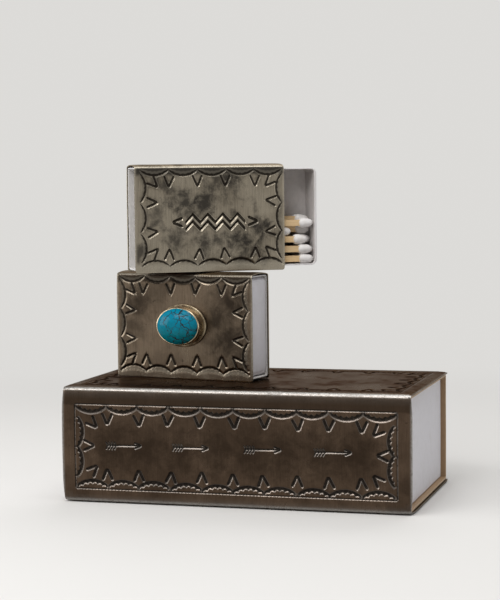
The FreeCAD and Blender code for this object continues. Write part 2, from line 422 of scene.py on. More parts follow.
def strike_tree(name, borders, motifs=()):
    """The blows on one flat sheet, and the sheet pressed down to the lowest tool face under each point."""
    tree, given = Tree.named(
        name, ["Geometry"], geometry="Geometry", blows_only=False, mark_depth=0.3, lip=0.35, ripple=0.05,
        skin=0.03, wipe=(0.0, 0.0, 0.0), seed=0.0, metal="Material",
    )
    sheet, mark_depth, skin = given["Geometry", "Mark Depth", "Skin"]

    def face(tool):
        return tree.add("GeometryNodeObjectInfo", object=tool)["Geometry"]

    blows = []
    for place, scallop, wedge, sizes in borders:
        made = tree.use(border, scallop=face(scallop), wedge=face(wedge), **sizes)
        blows.append(tree.transform(made, translation=(*place, 0)))
    for tool, place, turn, sizes in motifs:
        made = tree.use(line_of_blows, punch=face(tool), **sizes) if sizes else face(tool)
        blows.append(tree.transform(made, translation=(*place, 0), rotation=(0, 0, turn)))
    blows = tree.real(tree.join(*blows))
    position = tree.add("GeometryNodeInputPosition")

    def depth_at(place):
        """How deep the lowest tool face lies under a place."""
        below, ray_length = (0, 0, -5), 10.0
        hit = tree.add(
            "GeometryNodeRaycast", target_geometry=blows, source_position=tree.vectors("ADD", place, below),
            ray_direction=(0, 0, 1), ray_length=ray_length,
        )
        return tree.split(hit["Hit Position"])["Z"] * -1 * hit["Is Hit"]

    def store(label, value, sort="FLOAT"):
        return tree.add(
            "GeometryNodeStoreNamedAttribute", geometry=sheet, name=label, value=value, data_type=sort,
            domain="POINT",
        )

    def soft(label, rounds, weight=1.0):
        """A stored mask, blurred over the sheet."""
        mask = tree.add("GeometryNodeInputNamedAttribute", name=label, data_type="FLOAT")
        return tree.add(
            "GeometryNodeBlurAttribute", {0: mask}, iterations=rounds, weight=weight, data_type="FLOAT"
        )

    sheet = store("flat", position, "FLOAT_VECTOR")
    sheet = store("sunk", depth_at(position))
    # the dark patina of the marks, sampled a little aside by the shade shift so that it lies thicker on the
    # side of each mark away from the lamps: real patina with painted shade
    sheet = store("residue", depth_at(tree.vectors("ADD", position, given["Wipe"])))
    pressed, around = soft("sunk", 1, 0.4), soft("sunk", 5)
    sheet = store("struck", soft("sunk", 1, 0.3) / mark_depth)
    sheet = store("residue", soft("residue", 1, 0.3) / mark_depth)
    sheet = store("near", soft("sunk", 14) / mark_depth)
    lip = ((around - pressed).at_least(0.0) * given["Lip"]).at_most(skin)
    waves = tree.noise(position, 0.1, 2.0, seed=given["Seed"])
    deep = (waves * given["Ripple"] + (pressed - lip) + skin).at_least(0.0)
    struck = tree.set_place(sheet, offset=tree.xyz(0, 0, deep * -1))
    tree.give(geometry=tree.dressed(tree.choose(given["Blows Only"], struck, blows), given["Metal"]))
    return tree


def grown(mesh, tree, **values):
    """The plain mesh that a tree makes of a mesh, with the tree's inputs given by name."""
    source = set_out("drawing", mesh)
    modifier = source.modifiers.new("rule", "NODES")
    modifier.node_group = tree.group
    for socket in tree.group.interface.items_tree:
        label = socket.name.replace(" ", "_").lower()
        if socket.in_out == "INPUT" and label in values:
            modifier[socket.identifier] = values[label]
    graph = bpy.context.evaluated_depsgraph_get()
    made = bpy.data.meshes.new_from_object(source.evaluated_get(graph), depsgraph=graph)
    source.modifiers.remove(modifier)
    bpy.data.objects.remove(source)
    return made


def read_points(mesh, name="position"):
    """The places of a mesh's points, or another attribute of them, as an array."""
    stored = mesh.attributes[name]
    key, width = ("value", 1) if stored.data_type == "FLOAT" else ("vector", 3)
    values = np.empty(len(mesh.vertices) * width, np.float32)
    stored.data.foreach_get(key, values)
    return values.reshape(-1, width).astype(float)


def new_piece(holder, name, body, cad_nodes, points, faces, material, masks, sharp=35):
    """A finished piece: mesh, masks on its points, material, body and the nodes it stands for."""
    mesh = meshed(name, holder.place(points), faces)
    for label, values in masks.items():
        values = np.asarray(values, np.float32)
        sort, key = ("FLOAT_VECTOR", "vector") if values.ndim == 2 else ("FLOAT", "value")
        mesh.attributes.new(label, sort, "POINT").data.foreach_set(key, values.ravel())
    mesh.polygons.foreach_set("use_smooth", [True] * len(mesh.polygons))
    mesh.set_sharp_from_angle(angle=math.radians(sharp))
    mesh.validate()
    mesh.materials.append(material)
    piece = set_out(name, mesh)
    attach(piece, holder.name + "_" + body)
    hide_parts(*cad_nodes)


def stations(*runs):
    """Places along a line from runs of (end, step), each divided evenly; the first run is the start."""
    places = [runs[0]]
    for stop, step in runs[1:]:
        count = max(1, round((stop - places[-1]) / step))
        places += list(np.linspace(places[-1], stop, count + 1)[1:])
    return np.array(places)


def refined(mesh, marks, reach, levels):
    """Divides the sheet's faces again and again near the marks; its border stays as it is."""
    near = KDTree(len(marks))
    for number, mark in enumerate(marks):
        near.insert(mark, number)
    near.balance()
    sheet = bmesh.new()
    sheet.from_mesh(mesh)
    for _ in range(levels):
        edges = set()
        for face in sheet.faces:
            centre = face.calc_center_median()
            size = max((corner.co - centre).length for corner in face.verts)
            if near.find(centre)[2] < reach + size:
                edges |= {edge for edge in face.edges if not edge.is_boundary}
        bmesh.ops.subdivide_edges(sheet, edges=list(edges), cuts=1, use_grid_fill=True)
    sheet.to_mesh(mesh)
    sheet.free()


def struck_cover(holder, tree, metal, step, roll, relief, bend_wear, open_edge_wear_and_highlight, fine=(), **sizes):
    """A cover: its flat sheet is struck by a tree, bent, backed by an inner skin and closed by a rim."""
    edge_round, rim_step, beside_step, bend_step = 0.16, 0.3, 0.4, holder.bend * 0.22
    mark_step, mark_reach, fine_reach, levels = 0.4, 0.12, 0.02, 3
    end, free = holder.length / 2 - edge_round, holder.free_end - edge_round
    corner, hair = holder.corner - edge_round, 1e-6

    def divided(limit, *runs):
        """Places from edge to edge, close together along both rims."""
        start = (-limit, (-limit + rim_step, rim_step), (-limit + corner, beside_step))
        return stations(
            *start, *runs, (limit - corner, step), (limit - rim_step, beside_step), (limit, rim_step)
        )

    bends = (holder.web_end, step), (holder.bend_end, bend_step)
    x = divided(end)
    y = divided(free, (-holder.bend_end, step), (-holder.web_end, bend_step), *bends)
    flat = np.array([(px, py) for py in y for px in x])
    outward = np.zeros_like(flat)
    for axis, limit in ((0, end), (1, free)):
        on_edge = np.abs(flat[:, axis]) > limit - hair
        outward[on_edge, axis] = np.sign(flat[on_edge, axis])

    # the corners are rounded, and the ends are drawn in where the sheet bends
    past = np.abs(flat) - (np.array((end, free)) - corner)
    in_corner = (past > hair).all(1)
    past, signs = past[in_corner], np.sign(flat[in_corner])
    bow = past / np.linalg.norm(past, axis=1, keepdims=True)
    flat[in_corner] += signs * (bow * past.max(1, keepdims=True) - past)
    outward[in_corner] = np.where(np.abs(outward[in_corner]).any(1)[:, None], signs * bow, 0)
    relief_width, relief_length = 4.0, 6.0
    to_bend = np.abs(flat[:, 1]) - (holder.web_end + holder.bend_end) / 2
    drawn = np.clip((np.abs(flat[:, 0]) - end) / relief_length + 1, 0, 1) ** 2
    drawn *= relief * np.exp(-((to_bend / relief_width) ** 2))
    flat[:, 0] -= np.sign(flat[:, 0]) * drawn

    quads = net(len(x), len(y))
    mesh = meshed("flat", np.column_stack([flat, np.zeros(len(flat))]), quads)
    blows = grown(mesh, tree, blows_only=True, **sizes)
    places = read_points(blows)
    marks = []
    for edge in blows.edges:
        start, stop = places[list(edge.vertices)]
        marks += list(np.linspace(start, stop, 2 + int(np.linalg.norm(stop - start) / mark_step)))
    refined(mesh, marks, mark_reach, levels)
    for low, high in fine:
        refined(mesh, [mark for mark in marks if low < mark[1] < high], fine_reach, 1)
    struck = grown(mesh, tree, blows_only=False, metal=metal, **sizes)

    roll_run, inner_roll = 1.8, 0.4  # the inner skin turns in less than the outer one

    def rolled(along):
        """How far the sheet turns in near its two ends."""
        return roll * np.clip((np.abs(along) - end + relief) / roll_run + 1, 0, 1) ** 2

    pressed = read_points(struck)
    points = [holder.bent(pressed[:, 0], pressed[:, 1], rolled(pressed[:, 0]) - pressed[:, 2])]
    faces = [tuple(polygon.vertices) for polygon in struck.polygons]
    numbers = np.arange(len(flat)).reshape(len(y), len(x))
    sides = numbers[0], numbers[1:, -1], numbers[-1, -2::-1], numbers[-2:0:-1, 0]
    loop = np.concatenate(sides).tolist()
    rim, total = [loop], len(pressed)
    for depth, out in ((0.18, 0.75), (0.5, 1.0), (0.82, 0.75)):
        edge = flat[loop] + outward[loop] * edge_round * out
        turned_in = rolled(edge[:, 0]) * (1 - (1 - inner_roll) * depth)
        points.append(holder.bent(edge[:, 0], edge[:, 1], turned_in + depth * holder.sheet))
        rim.append(list(range(total, total + len(loop))))
        total += len(loop)
    points.append(holder.bent(flat[:, 0], flat[:, 1], rolled(flat[:, 0]) * inner_roll + holder.sheet))
    rim.append([total + number for number in loop])
    faces += [tuple(total + number for number in reversed(quad)) for quad in quads]
    for outer, inner in zip(rim, rim[1:]):
        for a in range(len(loop)):
            b = (a + 1) % len(loop)
            faces.append((outer[b], outer[a], inner[a], inner[b]))

    # masks for the metal: outer skin, rim and inner skin, whose pattern lies far from the outer one's
    rest, inside, far_off, inner_soil = total - len(pressed), len(flat), (200, 0), 0.15
    rim_wear, rim_reach, free_strip, free_fade = 0.8, 0.4, 3.6, 1.4
    rim_flat = np.column_stack([np.tile(flat[loop], (len(rim) - 2, 1)), np.zeros(rest)])
    inner_flat = np.column_stack([flat + far_off, np.zeros(inside)])
    masks = {"flat": np.vstack([read_points(struck, "flat"), rim_flat, inner_flat])}
    for label in ("struck", "residue", "near"):
        mask = read_points(struck, label)[:, 0]
        masks[label] = np.concatenate([mask, np.zeros(rest), np.full(inside, inner_soil)])
    run, bend_half = np.abs(pressed[:, 1]), (holder.bend_end - holder.web_end) / 2
    to_rim = np.minimum(end - np.abs(pressed[:, 0]), free - run)
    rubbed = np.exp(-(((run - holder.web_end - bend_half) / (bend_half * bend_wear)) ** 2))
    rubbed = np.maximum(rubbed, rim_wear * np.exp(-((to_rim / rim_reach) ** 2)))
    # a lighter strip along the open edges, standing in for the light that the pillowed strip catches:
    # partly worn metal, partly painted highlight
    rubbed = np.maximum(rubbed, open_edge_wear_and_highlight * np.clip((run - free + free_strip) / free_fade, 0, 1))
    masks["rubbed"] = np.concatenate([rubbed, np.ones(rest), np.zeros(inside)])
    new_piece(
        holder, holder.name + "_stamped_cover", "cover", [holder.name + "_cover"],
        np.vstack(points), faces, metal, masks, sharp=50,
    )


class Finish(Tree):
    """The tree of a material, whose end is its shader, or of an effect that materials share."""

    kind, gives = "ShaderNode", "NodeSocketFloat"

    def stretched(self, place, scale, turn=0.0):
        return self.add("ShaderNodeMapping", vector=place, scale=scale, rotation=(0, 0, turn))

    def mask(self, name, output="Fac"):
        return self.add("ShaderNodeAttribute", attribute_name=name)[output]

    def object_place(self):
        return self.add("ShaderNodeTexCoord")["Object"]

    def paint(self, colour, *coats):
        """The base colour: a first one, and others over it, each with the mask that it shows by."""
        for amount, coat in coats:
            first, second = ((*tone, 1) if isinstance(tone, tuple) else tone for tone in (colour, coat))
            colour = self.add("ShaderNodeMix", {0: amount, 6: first, 7: second}, data_type="RGBA")[2]
        self.give(base_color=colour)

    def bump(self, height, strength, distance):
        bumps = self.add("ShaderNodeBump", height=height, strength=strength, distance=distance)
        self.give(normal=bumps)


# Clouds, blotches and grit of an old surface, as masks
aged, given = Finish.named(
    "Aged surface", ["Cloud", "Blotch", "Speck", "Grit"], vector=(0.0, 0.0, 0.0), scale=0.1, seed=0.0
)
place, scale, seed = given["Vector", "Scale", "Seed"]
cloud = aged.noise(place, scale, 5.0, 0.6, seed, 0.4)
blotch = aged.noise(place, scale * 2.3, 6.0, 0.6, seed, 0.25)
aged.give(
    cloud=cloud.step(0.32, 0.68),
    blotch=(cloud * 0.5 + blotch).step(0.75, 0.92),
    speck=aged.noise(place, scale * 10.0, 3.0, 0.6, seed, 0.6).step(0.64, 0.74),
    grit=aged.noise(place, scale * 34.0, 3.0, 0.6, seed),
)

# Fine brushing and stray scratches, as heights
brushed, given = Finish.named(
    "Brushing", ["Streak", "Scratch"], vector=(0.0, 0.0, 0.0), fineness=3.0, seed=0.0
)
place, fineness, seed = given["Vector", "Fineness", "Seed"]
scratches = []
for turn, limit in ((0.5, 0.665), (-0.9, 0.675), (1.4, 0.67)):
    line = brushed.stretched(place, (1, 0.02, 1), turn)
    scratches.append(brushed.noise(line, fineness * 0.9, 2.0, 0.5, seed).step(limit, limit + 0.05))
brushed.give(
    streak=brushed.noise(brushed.stretched(place, (1, 0.05, 1)), fineness, 4.0, 0.7, seed),
    scratch=scratches[0].at_least(scratches[1]).at_least(scratches[2]),
)


def new_material(name, **settings):
    """A Principled material with plain values on its own sockets, and its tree."""
    material = bpy.data.materials.new(name)
    material.use_nodes = True
    tree = Finish(material.node_tree, material.node_tree.nodes["Principled BSDF"])
    tree.give(**settings)
    return material, tree


def aged_silver(
    holder, clean, dull, stain, bright, grazing, crease, seed, blotches, rag, stains, bands, ridge_wear
):
    """Old nickel silver: bright where it is worn, dull in clouds, stained in blotches, black in marks.

    The black lies thicker on the side of each mark away from the lamps, as painted shade over real patina.
    The strip along the open edges is lighter, partly worn metal and partly painted highlight. A dark patch
    is x, y, radius and weight on the flat sheet, and a band low y, high y and weight.
    """
    material, tree = new_material("aged_silver_" + holder.name, metallic=1.0, specular_tint=(*grazing, 1))
    flat, struck, near = tree.mask("flat", "Vector"), tree.mask("struck"), tree.mask("near")
    age = tree.use(aged, vector=flat, scale=0.055, seed=seed)
    cloud, blotch, speck, grit = age["Cloud", "Blotch", "Speck", "Grit"]
    streak, scratch = tree.use(brushed, vector=flat, fineness=2.2, seed=seed)["Streak", "Scratch"]
    ragged = tree.noise(flat, 0.24, 8.0, 0.72, seed, 0.4) - 0.5
    # dark patches at the listed places; on the middle cover they are a painted reflection
    spots = blotch * blotches
    for x, y, radius, weight in stains:
        apart = ragged * (rag * radius) + tree.vectors("DISTANCE", flat, (x, y, 0))["Value"]
        spots = spots.at_least(apart.step(-0.1 * radius, 1.1 * radius, weight, 0.0))
    lane = ragged * 3.0 + tree.split(flat)["Y"]
    for low, high, weight in bands:
        band = lane.step(high - 0.9, high + 0.9, weight, 0.0) * lane.step(low - 0.6, low + 0.6)
        spots = spots.at_least(band)
    slope = struck.step(0.04, 0.2)
    # black in the creases: real patina, laid thicker on the side away from the lamps as painted shade
    dark = tree.mask("residue").step(*crease, 0.0, 0.97) * grit.step(0.25, 0.6, 0.75, 1.0)
    dirt, black = (stain[0] * 1.25, stain[1] * 1.05, stain[2] * 0.8), (0.012, 0.0095, 0.0075)
    tree.paint(
        clean,
        (cloud, dull),
        (near.step(0.02, 0.3) * cloud.step(0.1, 0.9, 0.25, 0.8), dirt),
        (spots, stain),
        (speck * 0.6, stain),
        (streak.step(0.4, 0.7, 0.0, 0.32), stain),
        # lighter where worn, and along the open edges also a painted highlight
        (tree.mask("rubbed") * grit.step(0.3, 0.6, 0.5, 1.0), bright),
        (slope * 0.2, bright),
        (near.step(0.2, 0.45) * struck.step(0.03, 0.2, ridge_wear, 0.0), bright),
        (dark, black),
    )
    rough = cloud * 0.1 + blotch * 0.14 + slope * -0.05 + dark * 0.2 + streak * 0.12 + 0.2
    tree.give(roughness=rough)
    tree.bump(scratch * -0.7 + streak + grit * 0.5, 0.22, 0.00012)
    return material


def border_sizes(length, width, along, across, room, inset, wander, seed):
    """Inputs of a punched border with so many scallops along and across it."""
    return dict(
        half_length=length / 2, half_width=width / 2, count_along=along, count_across=across,
        corner_room=room, corner_inset=inset, wander=wander, seed=seed,
    )


# Large cover: frame, border and arrows on the web, a border on the upper wall
frame_inset, web_inset, frame_gap, bend_gap = 4.9, 5.35, 1.0, 3.1
web_drop, arrow_x, arrow_rise = -0.7, -1.9, 0.1  # the web's frame sits a little low on it
wall_low, wall_high = large.bend_end + bend_gap, large.free_end - frame_inset
wall_middle = (wall_low + wall_high) / 2
frame_length = large.length - 2 * frame_inset
web_width, wall_width = large.height - 2 * web_inset, wall_high - wall_low
large_scallop = scallop_punch(
    "large_scallop", chord, dip=2.1, depth=0.42, teeth=6, notch=0.6,
    slope=0.95, wall=0.75, steep=0.4, rest=0.6,
)
large_wedge = wedge_punch(
    "large_wedge", mouth=2.2, apex=6.5, width=4.0, outer=0.68, inner=0.72, depth=0.45, tail=0.3
)
arrow = arrow_punch("arrow", length=12.9, head=2.9, feather=1.5, half_width=0.4, depth=0.36)
panel = frame_length - frame_gap
web_border = border_sizes(panel, web_width - frame_gap, 10, 2, room=3.4, inset=2.9, wander=0.45, seed=11)
wall_border = border_sizes(panel, wall_width - frame_gap, 10, 5, room=3.0, inset=2.4, wander=0.45, seed=47)
large_tree = strike_tree(
    "Struck sheet large",
    [
        ((0, web_drop), large_scallop, large_wedge, web_border),
        ((0, wall_middle), large_scallop, large_wedge, wall_border),
    ],
    [
        (arrow, (arrow_x, arrow_rise), 0.0, dict(count=4, pitch=24.4, wander=0.6)),
        (frame_punch("web_line", frame_length, web_width), (0, web_drop), 0.0, None),
        (frame_punch("wall_line", frame_length, wall_width), (0, wall_middle), 0.0, None),
    ],
)
large_metal = aged_silver(
    large,
    # clean and dull are darker than the metal is, standing in for the dark room that it reflected: painted
    # reflection; the grazing tint is kept low for the same reason
    clean=(0.104, 0.071, 0.0485),
    dull=(0.064, 0.043, 0.029),
    stain=(0.027, 0.018, 0.012),
    bright=(0.36, 0.35, 0.335),
    grazing=(0.37, 0.31, 0.26),
    crease=(0.2, 0.5),
    seed=1.3,
    blotches=0.4,
    rag=2.0,
    stains=[(along, web_drop, 15.0, 0.85) for along in range(-42, 43, 12)],
    bands=[(large.web_end - 4.6, large.web_end - 0.1, 0.62)],
    ridge_wear=0.15,
)
struck_cover(
    large, large_tree, large_metal, step=2.4, roll=0.32, relief=0.5, bend_wear=0.62, open_edge_wear_and_highlight=0.0,
    # the shade shift moves the crease patina towards the side of each mark away from the lamps: painted
    # shade
    fine=[(-large.web_end, large.web_end)], mark_depth=0.42, wipe=(0.15, -0.2, 0.0), seed=1.5,
)

# Small covers: a border on both wide walls; a zigzag between two wedges on the top one
open_margin, end_margin, bend_lap = 1.9, 1.3, 0.1
wall_low, wall_high = top.bend_end - bend_lap, top.free_end - open_margin
wall_middle = (wall_low + wall_high) / 2
small_scallop = scallop_punch(
    "small_scallop", chord, dip=2.2, depth=0.4, teeth=6, notch=0.2,
    slope=0.7, wall=1.9, steep=0.16, rest=0.42,
)
small_wedge = wedge_punch(
    "small_wedge", mouth=2.1, apex=6.3, width=3.8, outer=0.6, inner=0.68, depth=0.42, tail=0.8
)
end_wedge = wedge_punch(
    "end_wedge", mouth=0.2, apex=4.3, width=3.4, outer=0.7, inner=0.8, depth=0.44, tail=0.4
)
zigzag = zigzag_punch(
    "zigzag", peaks=4, period=5.4, height=2.9, gap=2.6, bed=0.75,
    wall=0.6, ridge=1.0, shoulder=0.05, depth=0.44,
)
zigzag_x, zigzag_y, zigzag_end = -1.9, wall_middle + 1.6, 11.2
zigzag_marks = [
    (zigzag, (zigzag_x, zigzag_y), math.pi, None),
    (end_wedge, (zigzag_x - zigzag_end, zigzag_y), math.pi / 2, None),
    (end_wedge, (zigzag_x + zigzag_end, zigzag_y), -math.pi / 2, None),
]
# each dark patch is its place along the wall, its distance from the web, its radius and its weight
middle_looks = dict(
    # clean and dull are darker than the metal is, standing in for the dark room that it reflected: painted
    # reflection
    clean=(0.19, 0.146, 0.104),
    dull=(0.14, 0.105, 0.074),
    stain=(0.028, 0.021, 0.0155),
    bright=(0.27, 0.245, 0.2),
    seed=4.1,
    blotches=0.3,
    rag=1.8,
    # these patches stand in for the dark reflections that lay across the middle cover: painted reflection
    stains=[
        (18, 11, 11.0, 0.92), (10, 8, 8.0, 0.6), (21, 20, 9.0, 0.75), (-19, 11, 13.5, 0.96),
        (-18, 24, 14.5, 0.96), (-13, 17, 11.0, 0.9), (-22, 30, 10.0, 0.9),
    ],
)
top_looks = dict(
    # clean and dull are darker than the metal is, standing in for the dark room that it reflected: painted
    # reflection
    clean=(0.31, 0.272, 0.212),
    dull=(0.215, 0.184, 0.138),
    stain=(0.03, 0.027, 0.024),
    bright=(0.36, 0.325, 0.262),
    seed=8.6,
    blotches=0.8,
    rag=4.0,
    stains=[
        (-7.5, 6.3, 7.2, 0.92), (9.6, 14.2, 7.2, 0.88), (4.8, 14.6, 6.6, 0.92), (1.7, 13.0, 6.6, 0.92),
        (-18.5, 22.5, 5.5, 0.95), (-12, 28.3, 8.0, 0.94), (12.6, 26.6, 5.5, 0.8), (18.7, 16.3, 5.0, 0.7),
        (2.4, 28, 6.2, 0.85),
    ],
)
# the fourth value lightens the strip along the open edges: partly worn metal, partly painted highlight
for holder, looks, seed, open_edge_brightening, shift, motifs in (
    (middle, middle_looks, 71, 0.25, 0.0, []),
    (top, top_looks, 131, 0.65, -0.7, zigzag_marks),
):
    bend_end = holder.bend_end
    stains = [(x, bend_end + out - holder.bend_y, *rest) for x, out, *rest in looks["stains"]]
    bands = [(bend_end - 1.0, bend_end + 1.9, 0.92), (-bend_end - 1.9, -bend_end + 1.0, 0.92)]
    looks |= {"stains": stains, "bands": bands, "ridge_wear": 0.8}
    metal = aged_silver(holder, grazing=(0.6, 0.53, 0.46), crease=(0.3, 0.58), **looks)
    borders = []
    for y, draw in ((wall_middle, seed), (-wall_middle, seed + 400)):
        length, width = holder.length - 2 * end_margin, wall_high - wall_low
        sizes = border_sizes(length, width, 5, 3, room=1.6, inset=1.9, wander=0.3, seed=draw)
        borders.append(((shift, y), small_scallop, small_wedge, sizes))
    struck_cover(
        holder, strike_tree("Struck sheet " + holder.name, borders, motifs), metal, step=1.52, roll=0.1,
        # the shade shift moves the crease patina towards the side of each mark away from the lamps: painted
        # shade
        relief=0.1, bend_wear=0.35, open_edge_wear_and_highlight=open_edge_brightening, mark_depth=0.36, wipe=(-0.15, 0.18, 0.0),
        seed=float(seed),
    )
for tool in tools:
    bpy.data.objects.remove(tool)

# Sleeves
# The outer shells of the matchboxes: one strip of board, folded round four corners and glued, white paper
# outside. The kitchen box shows brown board inside and at its cut ends, the pocket boxes grey-white.
kitchen_card, pocket_card = 0.7, 0.45
# the white paper is greyer and bluer than white board: partly the board's own grey, partly painted shade
# and cool light
white_paper, kraft, grey_board = (0.63, 0.625, 0.665), (0.36, 0.23, 0.125), (0.6, 0.58, 0.56)


def rounded_loop(low, high, radius, steps, spread):
    """Points round a rectangle with rounded corners, and points spread along its sides."""
    (x0, y0), (x1, y1) = low + radius, high - radius
    points = []
    for corner, (x, y) in enumerate(((x1, y0), (x1, y1), (x0, y1), (x0, y0))):
        turns = (corner - 1 + np.linspace(0, 1, steps + 1)) * math.pi / 2
        points += [(x + radius * math.cos(turn), y + radius * math.sin(turn)) for turn in turns]
    loop = []
    for k, start in enumerate(points):
        end = points[(k + 1) % len(points)]
        cuts = spread if (k + 1) % (steps + 1) == 0 else 1
        loop += [tuple(np.add(start, np.subtract(end, start) * cut / cuts)) for cut in range(cuts)]
    return np.array(loop)


def loft(rings, closed=False):
    """Faces between rings of equally many points; open ends are capped."""
    count, last = len(rings[0]), len(rings) - 1
    faces = []
    for k in range(last + closed):
        here, there = k * count, (k + 1) % len(rings) * count
        for a in range(count):
            b = (a + 1) % count
            faces.append((here + a, here + b, there + b, there + a))
    if not closed:
        faces += [tuple(range(count - 1, -1, -1)), tuple(last * count + a for a in range(count))]
    return np.vstack(rings), faces


def uneven(points, amount, scale, seed, waves=6):
    """Points moved a little by smooth waves, the same on every run."""
    draw = np.random.default_rng(seed)
    moves = np.zeros_like(points)
    for _ in range(waves):
        wave = draw.normal(size=(3, 3)) * scale
        moves += np.sin(points @ wave + draw.uniform(0, 2 * math.pi, 3)) / waves
    return points + moves * amount


def paper(name, outside, core, inside, seed):
    """Card: outside, cut edge and inside by the piece's own mask, with fibres and faint soiling."""
    material, tree = new_material(name, roughness=0.55)
    place, side = tree.object_place(), tree.mask("side")
    age = tree.use(aged, vector=place, scale=60.0, seed=seed)
    fibre = tree.noise(tree.stretched(place, (900, 260, 500), 0.4), 1.0, 4.0, 0.7, seed)
    tree.paint(
        outside,
        (side.step(0.05, 0.45), core),
        (side.step(0.55, 0.95), inside),
        (fibre.step(0.35, 0.75) * side.step(0.0, 1.0, 0.1, 0.4), tuple(0.62 * tone for tone in inside)),
        (age["Blotch"] * 0.12, (0.42, 0.38, 0.33)),
    )
    tree.bump(age["Grit"] * 0.6 + fibre, 0.25, 0.00008)
    return material


def folded_sleeve(holder, card, fold, material):
    """A board tube along x, open at both ends, with softened cut edges."""
    edge, bore = 0.07, fold * 0.36
    low, high = holder.span(holder.name + "_sleeve")
    xs = stations(low[0] + edge, (high[0] - edge, 6.0))

    def ring(x, inset, radius):
        loop = rounded_loop(low[1:] + inset, high[1:] - inset, radius, 4, 6)
        return np.column_stack([np.full(len(loop), x), loop])

    def cut_end(x):
        return [ring(x, edge, fold - edge), ring(x, card - edge, bore + edge)]

    rings = [ring(x, 0, fold) for x in xs] + cut_end(high[0])
    rings += [ring(x, card, bore) for x in xs[::-1]] + cut_end(low[0])[::-1]
    points, faces = loft(rings, closed=True)
    side = np.repeat([0] * len(xs) + [0.5] * 2 + [1] * len(xs) + [0.5] * 2, len(rings[0]))
    points = uneven(points, 0.07, 0.12, len(holder.name))
    new_piece(
        holder, holder.name + "_folded_sleeve", "matchbox", [holder.name + "_sleeve"],
        points, faces, material, {"side": side},
    )


kitchen_paper = paper("kitchen_sleeve_board", white_paper, (0.42, 0.29, 0.17), kraft, 2.0)
pocket_paper = paper("pocket_sleeve_board", white_paper, (0.66, 0.65, 0.65), grey_board, 5.0)
folded_sleeve(large, kitchen_card, 0.9, kitchen_paper)
folded_sleeve(middle, pocket_card, 0.7, pocket_paper)
folded_sleeve(top, pocket_card, 0.7, pocket_paper)

# Strikers
# Strips of red phosphorus and ground glass in glue, printed on the sleeves' narrow sides in a net of small
# dots, and worn where matches were struck. They keep their CAD shape.
striker_coat, tree = new_material("striker_coat", roughness=0.9)
place = tree.object_place()
dots = tree.add("ShaderNodeTexVoronoi", vector=place, scale=1500.0, randomness=0.15)
dots = dots["Distance"].step(0.28, 0.5)
age = tree.use(aged, vector=place, scale=60.0, seed=3.0)
scores = tree.use(brushed, vector=place, fineness=900.0, seed=5.0)["Scratch"]
tree.paint(
    (0.085, 0.04, 0.03),
    (dots, (0.16, 0.09, 0.066)),
    (age["Cloud"] * 0.35, (0.17, 0.105, 0.08)),
    (scores * 0.4, (0.3, 0.23, 0.18)),
)
tree.bump(age["Grit"] * 0.8 + dots, 0.6, 0.0001)
for cad_node in (name for name in frame["nodes"] if "_striker_" in name):
    shape = frame["nodes"][cad_node].data
    shape.materials.clear()
    shape.materials.append(striker_coat)

# Trays
# Drawers of thin white card: a floor, two long walls with raw cut edges and two end walls folded double, so
# that their rims are round. Corners are folded, not cut square.


def folded_tray(holder, card, end_wall, corner, material):
    """Levels from below to the rim and down inside: insets, corner, height and share of inner card."""
    low, high = holder.span(holder.name + "_tray")
    base, floor, rim, edge, bore = low[2], low[2] + card, high[2], 0.09, corner * 0.6
    levels = (
        (0.4, 0.4, corner - 0.4, base, 0),
        (0.12, 0.12, corner - 0.12, base + 0.1, 0),
        (0, 0, corner, base + 0.4, 0),
        (0, 0, corner, (base + rim) / 2, 0),
        (0, 0, corner, rim - edge, 0.1),
        (edge, edge, corner - edge, rim, 0.5),
        (end_wall - edge, card - edge, bore + edge, rim, 0.5),
        (end_wall, card, bore, rim - edge, 0.9),
        (end_wall, card, bore, (floor + rim) / 2, 1),
        (end_wall, card, bore, floor + 0.35, 1),
        (end_wall + 0.1, card + 0.1, bore, floor + 0.1, 1),
        (end_wall + 0.35, card + 0.35, bore, floor, 1),
    )
    rings = []
    for inset_x, inset_y, radius, z, _ in levels:
        inset = np.array((inset_x, inset_y))
        loop = rounded_loop(low[:2] + inset, high[:2] - inset, radius, 5, 8)
        rings.append(np.column_stack([loop, np.full(len(loop), z)]))
    points, faces = loft(rings)
    side = np.repeat([level[-1] for level in levels], len(rings[0]))
    points = uneven(points, 0.08, 0.11, 7 + len(holder.name))
    new_piece(
        holder, holder.name + "_folded_tray", "tray", [holder.name + "_tray"],
        points, faces, material, {"side": side},
    )


# the tray card is greyer and bluer than white: partly the card's own grey, partly painted shade and cool
# light
tray_paper = paper("tray_card", (0.66, 0.65, 0.69), (0.66, 0.64, 0.64), (0.57, 0.535, 0.52), 9.0)
folded_tray(large, kitchen_card, 1.0, 1.6, tray_paper)
folded_tray(middle, pocket_card, 0.8, 2.0, tray_paper)
folded_tray(top, pocket_card, 0.8, 2.0, tray_paper)

# Matches
# Square aspen sticks, split from veneer, with heads dipped in white paste that dried uneven. Kitchen
# matches lie across their tray in three layers; pocket matches lie along theirs.
bundle, given = Tree.named(
    "Match bundle", ["Geometry"], geometry="Geometry", heads=False, length=42.0, side=2.2, head_length=5.8,
    head_width=3.38, segments=12, rings=8, turn=0.0, seed=1, material="Material",
)
side, head_length, head_width, seed = given["Side", "Head Length", "Head Width", "Seed"]
position = bundle.add("GeometryNodeInputPosition")
start = head_length * 0.4
length = given["Length"] - start
stick = bundle.add("GeometryNodeMeshCube", size=bundle.xyz(length, side, side), vertices_x=8)
stick = bundle.transform(stick, translation=bundle.xyz(length * 0.5 + start))
segments, rings = given["Segments", "Rings"]
ball = bundle.add("GeometryNodeMeshUVSphere", segments=segments, rings=rings, radius=0.5)
ball = bundle.transform(ball, scale=bundle.xyz(head_width, head_width, head_length))
ball = bundle.transform(ball, translation=bundle.xyz(head_length * 0.5), rotation=(0, math.pi / 2, 0))
